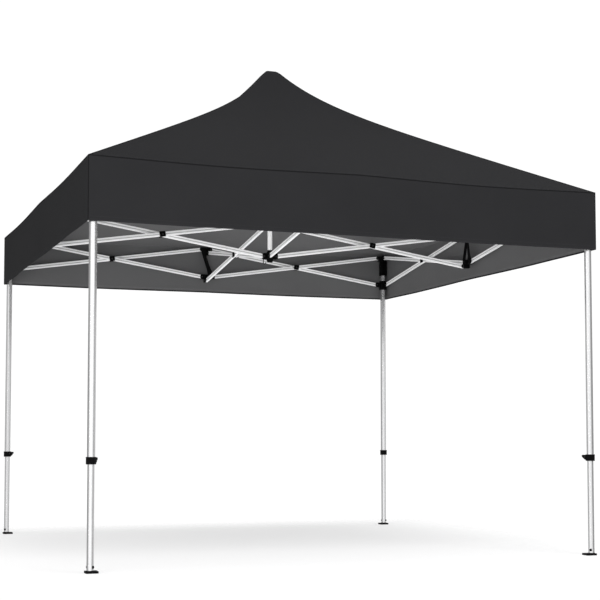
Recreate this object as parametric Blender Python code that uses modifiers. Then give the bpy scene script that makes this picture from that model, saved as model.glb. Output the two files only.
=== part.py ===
"""Folding party gazebo, metres, +Z up.

The origin is on the ground in the middle of the four legs. The front side is at -Y.
Every side and every leg is the same, so each shape is modelled once, for the front
side or for the front left leg, and its copies turn by quarter turns about Z.
A bar's origin is on the pin that it turns about, and a bracket's is on its own pin.
"""
import math

import bmesh
import bpy
from mathutils import Matrix, Vector

SIDES = ("front", "right", "back", "left")
CORNERS = ("front_left", "front_right", "back_right", "back_left")

# overall
LEG_HALF = 1.466          # leg centre from the middle, along X and along Y
CANOPY_HALF = 1.500       # outer face of the valance
VALANCE_BOTTOM = 1.780
EAVE_Z = 2.118
PEAK_Z = 3.083
PEAK_HALF = 0.036         # the peak is a small flat square over the mast's cap
FABRIC = 0.004            # thickness of the fabric shell
GAP = 0.0003              # between solids that touch

# scissor trusses
PIN_HIGH = 2.104          # upper pins of the side trusses
PIN_LOW = 1.894           # lower pins of the side trusses
CROSS_DROP = 0.031        # the cross trusses hang this much lower
LEG_PIN = 0.052           # leg centre to its pins
MID_PIN = 0.036           # middle of a side to its pins, also hub to its pins
MID_INNER_PIN = 0.052     # side truss plane to the pin of the cross truss
SPAN = LEG_HALF - LEG_PIN - MID_PIN
BAR_LENGTH = math.hypot(SPAN, PIN_HIGH - PIN_LOW)
SLOPE = math.atan2(PIN_HIGH - PIN_LOW, SPAN)
PLANE = 0.009             # each bar's centre plane from the truss's middle plane
BAR_WIDTH = 0.027
BAR_THICK = 0.014
PIN_R = 0.004
HOLE_R = 0.0044
EAR = 0.0045              # thickness of a fork's ears
SLOT = 0.0075             # half of a fork's slot
FORK = SLOT + EAR

# legs
OUTER_AF = 0.038          # hexagonal outer tube, across flats
INNER_AF = 0.033
OUTER_WALL = 0.002
INNER_WALL = 0.0015
TUBE_BOTTOM = 0.556
TUBE_TOP = 2.100
INNER_TOP = 0.900
FOOT = 0.064
FOOT_THICK = 0.011
FOOT_SHIFT = 0.008        # the foot plate sits a little inward of its tube

# mast
MAST_R = 0.015
CAP_R = 0.034
CAP_THICK = 0.012


def turn(degrees, axis="Z"):
    return Matrix.Rotation(math.radians(degrees), 4, axis)


def clear_scene():
    for old in list(bpy.data.objects):
        bpy.data.objects.remove(old, do_unlink=True)


def make_material(name, colour, roughness, metallic):
    material = bpy.data.materials.new(name)
    material.use_nodes = True
    shader = material.node_tree.nodes["Principled BSDF"]
    shader.inputs["Base Color"].default_value = (*colour, 1.0)
    shader.inputs["Roughness"].default_value = roughness
    shader.inputs["Metallic"].default_value = metallic
    return material


def show(name, mesh):
    shape = bpy.data.objects.new(name, mesh)
    bpy.context.scene.collection.objects.link(shape)
    return shape


def evaluated_mesh(shape):
    """The mesh of an object with its modifiers applied; the object goes away."""
    graph = bpy.context.evaluated_depsgraph_get()
    mesh = bpy.data.meshes.new_from_object(shape.evaluated_get(graph))
    bm = bmesh.new()
    bm.from_mesh(mesh)
    bmesh.ops.remove_doubles(bm, verts=bm.verts, dist=0.00001)
    bm.to_mesh(mesh)
    bm.free()
    bpy.data.objects.remove(shape, do_unlink=True)
    return mesh


def prism(outlines, low, high):
    """A flat outline with its holes, drawn in plan and raised from low to high."""
    curve = bpy.data.curves.new("outline", "CURVE")
    curve.dimensions = "2D"
    curve.fill_mode = "BOTH"
    curve.extrude = (high - low) / 2
    for points in outlines:
        spline = curve.splines.new("POLY")
        spline.points.add(len(points) - 1)
        for spot, (x, y) in zip(spline.points, points):
            spot.co = (x, y, 0, 1)
        spline.use_cyclic_u = True
    mesh = evaluated_mesh(show("outline", curve))
    bpy.data.curves.remove(curve)
    mesh.transform(Matrix.Translation((0, 0, (low + high) / 2)))
    return show("prism", mesh)


def box(x0, x1, y0, y1, z0, z1):
    mesh = bpy.data.meshes.new("box")
    bm = bmesh.new()
    bmesh.ops.create_cube(bm, size=1)
    bm.to_mesh(mesh)
    bm.free()
    middle = Matrix.Translation(((x0 + x1) / 2, (y0 + y1) / 2, (z0 + z1) / 2))
    mesh.transform(middle @ Matrix.Diagonal((x1 - x0, y1 - y0, z1 - z0, 1)))
    return show("box", mesh)


def rod(radius, start, end, segments=16):
    """A round rod between two points."""
    start, end = Vector(start), Vector(end)
    mesh = bpy.data.meshes.new("rod")
    bm = bmesh.new()
    bmesh.ops.create_cone(bm, cap_ends=True, segments=segments, radius1=radius, radius2=radius,
                          depth=(end - start).length)
    bm.to_mesh(mesh)
    bm.free()
    aim = (end - start).to_track_quat("Z", "Y").to_matrix().to_4x4()
    mesh.transform(Matrix.Translation((start + end) / 2) @ aim)
    return show("rod", mesh)


def combine(base, others, operation):
    """Union with, or cut by, other shapes, which are used up."""
    for other in others:
        step = base.modifiers.new(operation, "BOOLEAN")
        step.operation = operation
        step.solver = "EXACT"
        step.object = other
    mesh = evaluated_mesh(base)
    for other in others:
        bpy.data.objects.remove(other, do_unlink=True)
    return show("combined", mesh)


def finish(shape, origin):
    """The shape's mesh, measured from its origin and shaded smooth between sharp edges."""
    mesh = evaluated_mesh(shape)
    mesh.transform(Matrix.Translation(-Vector(origin)))
    mesh.shade_smooth()
    mesh.set_sharp_from_angle(angle=math.radians(35))
    return mesh


def place(name, mesh, material, matrix):
    part = bpy.data.objects.new(name, mesh)
    part.matrix_world = matrix
    if not mesh.materials:
        mesh.materials.append(material)
    bpy.data.collections["party_gazebo"].objects.link(part)


def place_round(names, mesh, material, matrix):
    """Four copies, one for each side or corner, a quarter turn apart."""
    for quarter, name in enumerate(names):
        place(name, mesh, material, turn(90 * quarter) @ matrix)


def circle(x, y, radius, count=16):
    angles = (2 * math.pi * i / count for i in range(count))
    return [(x + radius * math.cos(a), y + radius * math.sin(a)) for a in angles]


def hexagon(across_flats):
    """A hexagon with one corner toward -X -Y, the outside of the front left leg."""
    radius = across_flats / math.sqrt(3)
    angles = (math.radians(225 + 60 * i) for i in range(6))
    return [(radius * math.cos(a), radius * math.sin(a)) for a in angles]


def rounded_bar(start, end, half, count=8):
    """Outline of a straight bar with round ends about both of its end pins."""
    right = [math.radians(-90 + 180 * i / count) for i in range(count + 1)]
    return ([(end + half * math.cos(a), half * math.sin(a)) for a in right]
            + [(start - half * math.cos(a), -half * math.sin(a)) for a in right])


def shifted(points, dx, dy):
    return [(x + dx, y + dy) for x, y in points]


def swapped(points):
    """The mirror image across the diagonal of a corner, running the same way round."""
    return [(y, x) for x, y in reversed(points)]


# Bars of the trusses. Their length is along X and their thickness along Y.

def pinned_bar():
    """A bar from its end pin at the origin, with the truss's middle pin and blocks."""
    half = BAR_THICK / 2
    holes = [circle(0, 0, HOLE_R), circle(BAR_LENGTH, 0, HOLE_R)]
    bar = prism([rounded_bar(0, BAR_LENGTH, BAR_WIDTH / 2)] + holes, -half, half)
    middle = BAR_LENGTH / 2
    near = 2 * PLANE - half           # near face of the other bar
    far = 2 * PLANE + half
    block = [(middle + x, y) for x, y in ((-0.019, -0.017), (0.019, -0.017), (0.019, 0.017), (-0.019, 0.017))]
    bar = combine(bar, [
        prism([block], half - 0.001, half + 0.005),
        rod(0.012, (middle, 0, -half + 0.001), (middle, 0, -near + GAP)),
        rod(PIN_R, (middle, 0, 0), (middle, 0, -far - 0.003)),
        prism([block], -far - 0.0055, -far - GAP),
    ], "UNION")
    mesh = finish(bar, (0, 0, 0))
    mesh.transform(turn(90, "X"))
    return mesh


def holed_bar():
    """A bar about its middle hole, which turns on the other bar's middle pin."""
    reach = BAR_LENGTH / 2
    holes = [circle(x, 0, HOLE_R) for x in (-reach, 0, reach)]
    bar = prism([rounded_bar(-reach, reach, BAR_WIDTH / 2)] + holes, -BAR_THICK / 2, BAR_THICK / 2)
    mesh = finish(bar, (0, 0, 0))
    mesh.transform(turn(90, "X"))
    return mesh


def build_bars(metal):
    with_pin, with_holes = pinned_bar(), holed_bar()
    outer_y, inner_y = -LEG_HALF - PLANE, -LEG_HALF + PLANE
    middle_x, middle_z = MID_PIN + SPAN / 2, (PIN_HIGH + PIN_LOW) / 2
    slope = math.degrees(SLOPE)
    for hand, side, down in (("left", -1, 180 - slope), ("right", 1, slope)):
        place_round([f"{s}_outer_bar_{hand}" for s in SIDES], with_pin, metal,
                    Matrix.Translation((side * MID_PIN, outer_y, PIN_HIGH)) @ turn(down, "Y"))
        place_round([f"{s}_inner_bar_{hand}" for s in SIDES], with_holes, metal,
                    Matrix.Translation((side * middle_x, inner_y, middle_z)) @ turn(180 - down, "Y"))
    place_round([f"{s}_cross_bar_low" for s in SIDES], with_pin, metal,
                Matrix.Translation((PLANE, -MID_PIN, PIN_HIGH - CROSS_DROP))
                @ turn(90) @ turn(180 - slope, "Y"))
    place_round([f"{s}_cross_bar_high" for s in SIDES], with_holes, metal,
                Matrix.Translation((-PLANE, -middle_x, middle_z - CROSS_DROP))
                @ turn(90) @ turn(slope, "Y"))


# Brackets at the middle of each side.

def side_bracket(plane, cross_plane, pin_z, half_height):
    """Forks for two side bars and one cross bar, for the front side.

    plane is the side bars' distance inward of the side's middle plane, and
    cross_plane is the cross bar's distance to +X. It is drawn about the middle of
    the side at the height of its side pins, and its origin is on the cross bar's pin.
    """
    reach = MID_PIN + 0.013
    block = MID_PIN - BAR_WIDTH / 2 - 0.001
    low, high = -half_height, half_height
    side_fork = combine(box(-reach, reach, plane - FORK, plane + FORK, low, high), [
        box(-1, -block, plane - SLOT, plane + SLOT, -1, 1),
        box(block, 1, plane - SLOT, plane + SLOT, -1, 1)], "DIFFERENCE")

    cross_z = -CROSS_DROP
    start, stop = plane - FORK + 0.003, MID_INNER_PIN - BAR_WIDTH / 2 - 0.0015
    tip = MID_INNER_PIN + 0.013
    fork = [(-FORK, start), (FORK, start), (FORK, tip), (SLOT, tip), (SLOT, stop), (-SLOT, stop),
            (-SLOT, tip), (-FORK, tip)]
    cross_fork = prism([shifted(fork, cross_plane, 0)], cross_z - 0.0125, cross_z + 0.0125)
    column = box(cross_plane - FORK + 0.001, cross_plane + FORK - 0.001, start + 0.001, stop - 0.002,
                 cross_z - 0.008, half_height - 0.003)
    pins = [rod(PIN_R, (x, plane - FORK + 0.001, 0), (x, plane + FORK - 0.001, 0))
            for x in (-MID_PIN, MID_PIN)]
    ends = [(cross_plane + x, MID_INNER_PIN, cross_z) for x in (0.001 - FORK, FORK - 0.001)]
    bracket = combine(side_fork, [cross_fork, column, rod(PIN_R, *ends)] + pins, "UNION")
    origin = Vector((cross_plane, MID_INNER_PIN, cross_z))
    return finish(bracket, origin), Matrix.Translation(origin + Vector((0, -LEG_HALF, pin_z)))


def build_side_brackets(plastic):
    mesh, spot = side_bracket(-PLANE, -PLANE, PIN_HIGH, 0.0125)
    place_round([f"{s}_upper_bracket" for s in SIDES], mesh, plastic, spot)
    mesh, spot = side_bracket(PLANE, PLANE, PIN_LOW, 0.0175)
    place_round([f"{s}_lower_bracket" for s in SIDES], mesh, plastic, spot)


# Hubs and mast in the middle.

def hub(plane, pin_z, bore):
    """Four forks in a pinwheel. plane is the front cross bar's distance to +X."""
    wide, deep, tip = 0.021, MID_PIN - BAR_WIDTH / 2 - 0.001, MID_PIN + 0.013
    low, high = plane - FORK, plane + FORK
    one = [(low, -wide), (low, -tip), (plane - SLOT, -tip), (plane - SLOT, -deep),
           (plane + SLOT, -deep), (plane + SLOT, -tip), (high, -tip)]
    if plane < 0:
        one = one[1:] + [(high, -wide)]
    outline, x_pins = [], []
    for quarter in range(4):
        c, s = ((1, 0), (0, 1), (-1, 0), (0, -1))[quarter]
        outline += [(c * x - s * y, s * x + c * y) for x, y in one]
        ends = [(low + 0.001, -MID_PIN), (high - 0.001, -MID_PIN)]
        x_pins.append([(c * x - s * y, s * x + c * y, pin_z) for x, y in ends])
    body = prism([outline] + ([circle(0, 0, bore, 32)] if bore else []), pin_z - 0.0275, pin_z + 0.0275)
    return combine(body, [rod(PIN_R, a, b) for a, b in x_pins], "UNION")


def build_hubs(plastic, metal):
    high, low = PIN_HIGH - CROSS_DROP, PIN_LOW - CROSS_DROP
    place("hub_upper", finish(hub(PLANE, high, MAST_R + 0.0005), (0, 0, high)), plastic,
          Matrix.Translation((0, 0, high)))
    origin = (-PLANE, -MID_PIN, low)
    place("hub_lower", finish(hub(-PLANE, low, 0), origin), plastic, Matrix.Translation(origin))
    bottom = low + 0.0275 + GAP
    top = PEAK_Z - FABRIC - GAP
    mast = combine(rod(MAST_R, (0, 0, bottom), (0, 0, top - 0.004), 32),
                   [rod(CAP_R, (0, 0, top - CAP_THICK), (0, 0, top), 32)], "UNION")
    place("mast", finish(mast, (0, 0, bottom)), metal, Matrix.Translation((0, 0, bottom)))


# Legs, drawn with the leg's centre at x = y = 0.

def leg_fork(plane, root, tip):
    """Half of a corner bracket's outline: its +X fork, from the -Y side to the diagonal."""
    stop = LEG_PIN - BAR_WIDTH / 2 - 0.001
    return [(root, plane - FORK), (tip, plane - FORK), (tip, plane - SLOT), (stop, plane - SLOT),
            (stop, plane + SLOT), (tip, plane + SLOT), (tip, plane + FORK), (root, plane + FORK)]


def corner_outline(half, plane, tip):
    """A square collar with a fork to +X and another to +Y."""
    fork = leg_fork(plane, half, tip)
    start = [(-half, -half), (half, -half)]
    return start + fork + [(half, half)] + swapped(fork) + [(-half, half)]


def leg_pins(plane, pin_z):
    near, far = plane - FORK + 0.001, plane + FORK - 0.001
    return [rod(PIN_R, (LEG_PIN, near, pin_z), (LEG_PIN, far, pin_z)),
            rod(PIN_R, (near, LEG_PIN, pin_z), (far, LEG_PIN, pin_z))]


def build_leg_head(plastic, corner):
    """The cap on the outer tube: a sleeve with two forks at its top."""
    top = PIN_HIGH + 0.0125
    head = prism([corner_outline(0.0235, PLANE, LEG_PIN + 0.013)], top - 0.035, top)
    sleeve = box(-0.0225, 0.0225, -0.0225, 0.0225, 1.968, top - 0.030)
    head = combine(head, [sleeve] + leg_pins(PLANE, PIN_HIGH), "UNION")
    head = combine(head, [prism([hexagon(OUTER_AF + 2 * GAP)], 1.9, TUBE_TOP + GAP)], "DIFFERENCE")
    place_round([f"leg_head_{c}" for c in CORNERS], finish(head, (0, 0, PIN_HIGH)), plastic,
                corner @ Matrix.Translation((0, 0, PIN_HIGH)))


def build_slider(plastic, corner):
    """The collar that runs on the outer tube and carries the lower ends of two bars."""
    bore = hexagon(OUTER_AF + 0.001)
    collar = prism([corner_outline(0.024, -PLANE, LEG_PIN + 0.0115), bore], 1.855, 1.925)
    collar = combine(collar, leg_pins(-PLANE, PIN_LOW), "UNION")
    origin = (LEG_PIN, -PLANE, PIN_LOW)
    place_round([f"leg_slider_{c}" for c in CORNERS], finish(collar, origin), plastic,
                corner @ Matrix.Translation(origin))


def build_clamp(plastic, corner):
    """The clamp at the bottom of the outer tube, with its lever on the inward side."""
    ring = prism([hexagon(0.049)], 0.545, 0.583)
    side = [(0.018, 0.580), (0.045, 0.580), (0.048, 0.577), (0.048, 0.569), (0.036, 0.553), (0.018, 0.549)]
    lever = prism([side], -0.009, 0.009)
    lever.data.transform(turn(45) @ turn(90, "X"))
    ring = combine(ring, [lever], "UNION")
    ring = combine(ring, [prism([hexagon(OUTER_AF + 2 * GAP)], TUBE_BOTTOM - GAP, 0.6),
                          prism([hexagon(INNER_AF + 0.001)], 0.5, 0.57)], "DIFFERENCE")
    place_round([f"leg_clamp_{c}" for c in CORNERS], finish(ring, (0, 0, TUBE_BOTTOM)), plastic,
                corner @ Matrix.Translation((0, 0, TUBE_BOTTOM)))


def build_tubes(metal, plastic, corner):
    outer = prism([hexagon(OUTER_AF), hexagon(OUTER_AF - 2 * OUTER_WALL)], TUBE_BOTTOM, TUBE_TOP)
    place_round([f"leg_tube_{c}" for c in CORNERS], finish(outer, (0, 0, PIN_HIGH)), metal,
                corner @ Matrix.Translation((0, 0, PIN_HIGH)))
    inner = prism([hexagon(INNER_AF), hexagon(INNER_AF - 2 * INNER_WALL)], FOOT_THICK + GAP, INNER_TOP)
    place_round([f"inner_leg_{c}" for c in CORNERS], finish(inner, (0, 0, 0)), metal, corner)
    edge = FOOT / 2
    foot = box(FOOT_SHIFT - edge, FOOT_SHIFT + edge, FOOT_SHIFT - edge, FOOT_SHIFT + edge, 0, FOOT_THICK)
    foot = combine(foot, [prism([hexagon(INNER_AF - 2 * INNER_WALL - 2 * GAP)], 0.003, 0.045)], "UNION")
    place_round([f"foot_{c}" for c in CORNERS], finish(foot, (0, 0, 0)), plastic, corner)


# Canopy.

def roof_height(out):
    """Height of the roof's outer face, out metres from the middle: steeper near the peak."""
    share = (out - PEAK_HALF) / (CANOPY_HALF - PEAK_HALF)
    return EAVE_Z + (PEAK_Z - EAVE_Z) * (1 - share) * (0.832 + 0.168 * math.exp(-share / 0.18))


def build_canopy(fabric):
    """A four-sided roof and its valance, turned in four steps from one corner's profile."""
    steps = 8
    out = [PEAK_HALF + (CANOPY_HALF - PEAK_HALF) * (i / steps) ** 1.6 for i in range(steps + 1)]
    profile = [(0.0, PEAK_Z)] + [(a * math.sqrt(2), roof_height(a)) for a in out]
    profile.append((CANOPY_HALF * math.sqrt(2), VALANCE_BOTTOM))
    mesh = bpy.data.meshes.new("canopy_profile")
    bm = bmesh.new()
    spots = [bm.verts.new((r, 0, z)) for r, z in profile]
    for a, b in zip(spots, spots[1:]):
        bm.edges.new((a, b))
    bm.to_mesh(mesh)
    bm.free()
    canopy = show("canopy_profile", mesh)
    screw = canopy.modifiers.new("four_sides", "SCREW")
    screw.axis = "Z"
    screw.steps = screw.render_steps = 4
    screw.use_merge_vertices = True
    screw.merge_threshold = 0.0001
    shell = canopy.modifiers.new("fabric", "SOLIDIFY")
    shell.thickness = FABRIC
    shell.offset = -1
    shell.use_even_offset = True
    mesh = finish(canopy, (0, 0, 0))
    mesh.transform(turn(45))
    place("canopy", mesh, fabric, Matrix.Identity(4))


def main():
    clear_scene()
    bpy.context.scene.collection.children.link(bpy.data.collections.new("party_gazebo"))
    metal = make_material("aluminium", (0.62, 0.62, 0.61), 0.38, 0.9)
    plastic = make_material("black_plastic", (0.012, 0.012, 0.013), 0.45, 0.0)
    fabric = make_material("charcoal_fabric", (0.027, 0.027, 0.030), 0.85, 0.0)
    corner = Matrix.Translation((-LEG_HALF, -LEG_HALF, 0))
    build_bars(metal)
    build_side_brackets(plastic)
    build_hubs(plastic, metal)
    build_leg_head(plastic, corner)
    build_slider(plastic, corner)
    build_clamp(plastic, corner)
    build_tubes(metal, plastic, corner)
    build_canopy(fabric)


main()
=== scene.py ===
"""The looks of a folding party gazebo, built round its CAD frame.

The frame is loaded first and fixes every place and size, in metres, with the ground
at zero and the front side at -Y. The four sides and the four legs are alike, so each
piece is modelled once, for the front side or the front left leg, and its copies are
turned by quarter turns about the mast.
"""
import math

import bmesh
import bpy
from bpy.props import FloatProperty, FloatVectorProperty, IntProperty, PointerProperty
from bpy.types import Operator, Panel, PropertyGroup
from mathutils import Matrix, Vector


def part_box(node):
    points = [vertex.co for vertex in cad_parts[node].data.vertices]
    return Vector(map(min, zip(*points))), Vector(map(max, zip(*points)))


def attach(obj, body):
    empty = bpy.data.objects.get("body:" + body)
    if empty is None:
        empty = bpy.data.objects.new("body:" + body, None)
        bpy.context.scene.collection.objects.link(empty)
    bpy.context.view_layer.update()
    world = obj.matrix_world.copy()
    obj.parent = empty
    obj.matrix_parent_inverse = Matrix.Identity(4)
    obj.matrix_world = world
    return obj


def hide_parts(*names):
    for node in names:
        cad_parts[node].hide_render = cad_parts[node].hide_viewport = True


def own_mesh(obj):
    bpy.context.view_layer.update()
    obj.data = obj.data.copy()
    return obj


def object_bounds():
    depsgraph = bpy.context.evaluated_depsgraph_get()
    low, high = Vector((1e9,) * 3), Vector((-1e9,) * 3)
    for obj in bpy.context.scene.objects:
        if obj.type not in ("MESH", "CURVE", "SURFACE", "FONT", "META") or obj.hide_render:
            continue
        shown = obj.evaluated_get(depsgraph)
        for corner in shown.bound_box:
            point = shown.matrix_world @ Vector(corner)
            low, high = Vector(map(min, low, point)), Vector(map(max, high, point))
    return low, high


bl_info = {
    "name": "Party Gazebo",
    "version": (1, 0, 0),
    "blender": (4, 5, 0),
    "location": "View3D > Sidebar > Gazebo",
    "description": "Builds the visible pieces of a folding party gazebo round its frame",
    "category": "Object",
}

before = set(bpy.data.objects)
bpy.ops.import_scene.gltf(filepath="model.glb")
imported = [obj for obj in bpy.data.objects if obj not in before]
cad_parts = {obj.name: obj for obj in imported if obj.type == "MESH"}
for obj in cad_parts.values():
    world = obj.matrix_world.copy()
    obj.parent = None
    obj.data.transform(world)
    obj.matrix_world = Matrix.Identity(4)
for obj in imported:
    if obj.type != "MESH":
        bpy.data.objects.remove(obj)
CAD_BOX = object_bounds()

SIDES = ("front", "right", "back", "left")
CORNERS = ("front_left", "front_right", "back_right", "back_left")

# Places read from the frame.
CANOPY_HALF = CAD_BOX[1].x      # outer face of the valance
PEAK_Z = CAD_BOX[1].z
VALANCE_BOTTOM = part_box("canopy")[0].z
TUBE_BOTTOM, TUBE_TOP = (corner.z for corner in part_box("leg_tube_front_left"))
INNER_BOTTOM, INNER_TOP = (corner.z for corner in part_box("inner_leg_front_left"))
MAST_BOTTOM, MAST_TOP = (corner.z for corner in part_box("mast"))

# Places inside its solids, the same as in their source.
PEAK_HALF = 0.036               # the flat at the peak
EAVE_Z = 2.118
LEG_HALF = 1.466                # leg centre from the middle, along X and along Y
FOOT_THICK = 0.011
FOOT_SHIFT = 0.008              # the foot plate sits a little inward of its tube

# The scissor trusses and their pins.
PIN_HIGH = 2.104
PIN_LOW = 1.894
CROSS_DROP = 0.031              # the cross trusses hang this much lower
LEG_PIN = 0.052                 # leg centre to its pins
MID_PIN = 0.036                 # middle of a side, or of a hub, to its pins
MID_INNER_PIN = 0.052           # a side's middle plane to the pin of the cross truss
PLANE = 0.009                   # each bar's centre plane from the truss's middle plane
SPAN = LEG_HALF - LEG_PIN - MID_PIN
BAR_LENGTH = math.hypot(SPAN, PIN_HIGH - PIN_LOW)
SLOPE = math.atan2(PIN_HIGH - PIN_LOW, SPAN)

# Details of the metal and of the moulded joints.
NEAR = 1e-4                     # points nearer than this count as one place
ROOT3 = math.sqrt(3)            # a hexagon's width across its flats, over its corner radius
OUTER_WALL = 0.0018
INNER_WALL = 0.0015
TUBE_CORNER = 0.0035            # rounding of a leg tube's corners
GROOVE_HALF = 0.0030
GROOVE_LIP = 0.0006             # width of the groove's sloping side
PIN_R = 0.0040
HOLE_R = 0.0044
SLOT = 0.0075                   # half of a fork's slot
FORK = 0.012                    # half of a fork over its ears
TIP = 0.013                     # from a pin to the tip of its ears
PIN_TO_BLOCK = 0.0145           # from a pin to the solid part behind it
EAR_ROUND = 0.0115
HEAD_BOTTOM = 1.968             # black sleeve on top of a leg
SLIDER = (1.855, 1.925)         # lowest and highest point of a slider's collar
CLAMP = (0.5455, 0.5830)        # the same of a height clamp
BLOCK_PLATE = 0.0050            # thickness of the plates at a crossing

# The cloth.
GORE_START = 0.050              # the roof's strips begin this far from the mast
BORDER = 0.070                  # width of the strip along the eave
PATCH_HALF = 0.054              # the doubled patch over the peak
SEAM_HALF = 0.0075              # half the width of a ridge seam
SEAM_START = 0.052
SEAM_LENGTH = 2.3               # a ridge seam's length on the flat cloth
BINDING = 0.007                 # width of the binding along the eave

# The webbing straps, from the top down: across the side, inward, height, and width.
BROAD_STRAP = (
    (0.024, 0.0052, 2.112, 0.036), (0.022, 0.0052, 2.092, 0.034), (0.016, 0.009, 2.056, 0.028),
    (-0.006, 0.014, 1.985, 0.030), (-0.026, 0.019, 1.930, 0.036), (-0.038, 0.0228, 1.908, 0.046),
    (-0.042, 0.0228, 1.880, 0.042),
)
EDGEWISE_STRAP = (
    (0.0046, 0.018, 2.086, 0.014), (0.0046, 0.021, 2.050, 0.019), (0.0018, 0.034, 1.970, 0.021),
    (-0.0042, 0.047, 1.905, 0.021), (-0.0044, 0.048, 1.8735, 0.016),
)

# The camera, and what the tubes mirror: brightness of the room by degrees round from +X.
CAMERA_PLACE = (-2.822, -8.076, 0.679)
CAMERA_TURN = (math.radians(93.31), 0, math.radians(-20.58))
CAMERA_LENS = 79.06
CAMERA_SHIFT = 0.1028
ROOM_LIGHT = (
    (-180, 0.35), (-170, 0.36), (-158, 0.80), (-147, 1.15), (-139, 0.72), (-122, 0.76), (-111, 1.20),
    (-104, 1.20), (-96, 0.66), (-52, 0.74), (-27, 0.12), (-8, 0.30), (12, 0.42), (25, 0.70), (50, 0.52),
    (93, 0.46), (131, 0.13), (144, 0.38), (180, 0.35),
)
WHITE = (1, 1, 1, 1)


# Sizes and colours that a user would change.

def metres(name, description, default, least, most):
    return FloatProperty(name=name, description=description, default=default, min=least, max=most,
                         unit="LENGTH")


def tint(name, description, *default):
    return FloatVectorProperty(name=name, description=description, default=default, size=3,
                               min=0.0, max=1.0, subtype="COLOR")


class GazeboSizes(PropertyGroup):
    bar_width: metres("Bar width", "Height of a truss bar's section", 0.027, 0.02, 0.03)
    bar_thickness: metres("Bar thickness", "Thickness of a truss bar", 0.014, 0.008, 0.0145)
    groove_depth: metres("Groove depth", "Depth of the groove along each bar", 0.0018, 0.0, 0.003)
    outer_tube: metres("Outer tube", "Outer leg tube across its flats", 0.038, 0.03, 0.038)
    inner_tube: metres("Inner tube", "Inner leg tube across its flats", 0.033, 0.02, 0.033)
    fabric: metres("Fabric", "Thickness of the canopy fabric", 0.0012, 0.0005, 0.003)
    eave_sag: metres("Eave sag", "How far the eave hangs between its supports", 0.011, 0.0, 0.03)
    hem: metres("Hem", "Height of the doubled hem of the valance", 0.026, 0.01, 0.05)
    gores: IntProperty(
        name="Gores", description="Cloth strips in each face of the roof, which gather as it folds",
        default=14, min=4, max=24)


class GazeboColours(PropertyGroup):
    fabric_outside: tint("Fabric outside", "Colour of the outer face of the canopy", 0.015, 0.015, 0.016)
    fabric_inside: tint("Fabric inside", "Colour of the coated inner face", 0.108, 0.108, 0.110)
    aluminium: tint("Aluminium", "Colour of the anodised tubes and bars", 0.86, 0.86, 0.865)
    plastic: tint("Plastic", "Colour of the moulded joints", 0.0022, 0.0022, 0.0023)


def sizes():
    return bpy.context.scene.gazebo_sizes


def colours():
    return bpy.context.scene.gazebo_colours


# Materials.

class Nodes:
    """A short way to lay out the node tree of a material or of the world."""

    def __init__(self, owner):
        owner.use_nodes = True
        self.owner = owner
        self.tree = owner.node_tree
        self.shader = self.tree.nodes.get("Principled BSDF")

    def set(self, **values):
        for socket, value in values.items():
            self.shader.inputs[socket.replace("_", " ")].default_value = value

    def add(self, kind, inputs=(), **settings):
        node = self.tree.nodes.new("ShaderNode" + kind)
        for key, value in settings.items():
            setattr(node, key, value)
        for socket, value in dict(inputs).items():
            if isinstance(value, bpy.types.NodeSocket):
                self.tree.links.new(value, node.inputs[socket])
            else:
                node.inputs[socket].default_value = value
        return node

    def value(self, kind, inputs=(), **settings):
        return self.add(kind, inputs, **settings).outputs[0]

    def noise(self, vector, scale, detail, **more):
        return self.value("TexNoise", {"Vector": vector, "Scale": scale, "Detail": detail, **more})

    def math(self, operation, *values):
        return self.value("Math", dict(enumerate(values)), operation=operation)

    def spread(self, value, inputs, **settings):
        """Maps a value from one range to another."""
        return self.value("MapRange", {"Value": value, **inputs}, **settings)

    def ramp(self, value, stops):
        node = self.add("ValToRGB", {"Fac": value})
        points = node.color_ramp.elements
        while len(points) < len(stops):
            points.new(0.5)
        for point, (at, colour) in zip(points, stops):
            point.position = at
            point.color = (*colour, 1.0)
        return node.outputs["Color"]

    def link(self, source, socket):
        self.tree.links.new(source, self.shader.inputs[socket])

    def bump(self, height, strength, distance):
        inputs = {"Height": height, "Strength": strength, "Distance": distance}
        self.link(self.value("Bump", inputs), "Normal")


def scaled(colour, factor):
    return tuple(min(1.0, c * factor) for c in colour)


def aluminium_material(name, factor, metallic, roughness):
    """Anodised drawn section: satin, with faint lines and bloom along its length."""
    n = Nodes(bpy.data.materials.new(name))
    n.set(Metallic=metallic)
    grain = n.add("Attribute", attribute_name="grain").outputs["Vector"]
    streak = n.noise(n.value("Mapping", {"Vector": grain, "Scale": (1.5, 900.0, 900.0)}), 1.0, 3.0)
    bloom = n.noise(grain, 7.0, 4.0)
    base = scaled(colours().aluminium, factor)
    tone = n.math("ADD", n.math("MULTIPLY", streak, 0.6), n.math("MULTIPLY", bloom, 0.4))
    n.link(n.ramp(tone, [(0.30, scaled(base, 0.92)), (0.70, scaled(base, 1.05))]), "Base Color")
    matt = n.math("MULTIPLY_ADD", bloom, 0.10, roughness)
    n.link(n.math("MULTIPLY_ADD", streak, 0.12, matt), "Roughness")
    n.bump(streak, 0.15, 0.00008)
    return n.owner


def steel_material(name):
    """Zinc-plated rivets, dulled and slightly cloudy."""
    n = Nodes(bpy.data.materials.new(name))
    n.set(Metallic=1.0)
    cloud = n.noise(n.add("TexCoord").outputs["Object"], 220.0, 3.0)
    n.link(n.ramp(cloud, [(0.3, (0.045, 0.045, 0.047)), (0.7, (0.085, 0.085, 0.088))]), "Base Color")
    n.link(n.math("MULTIPLY_ADD", cloud, 0.2, 0.28), "Roughness")
    n.bump(cloud, 0.2, 0.0001)
    return n.owner


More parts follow.
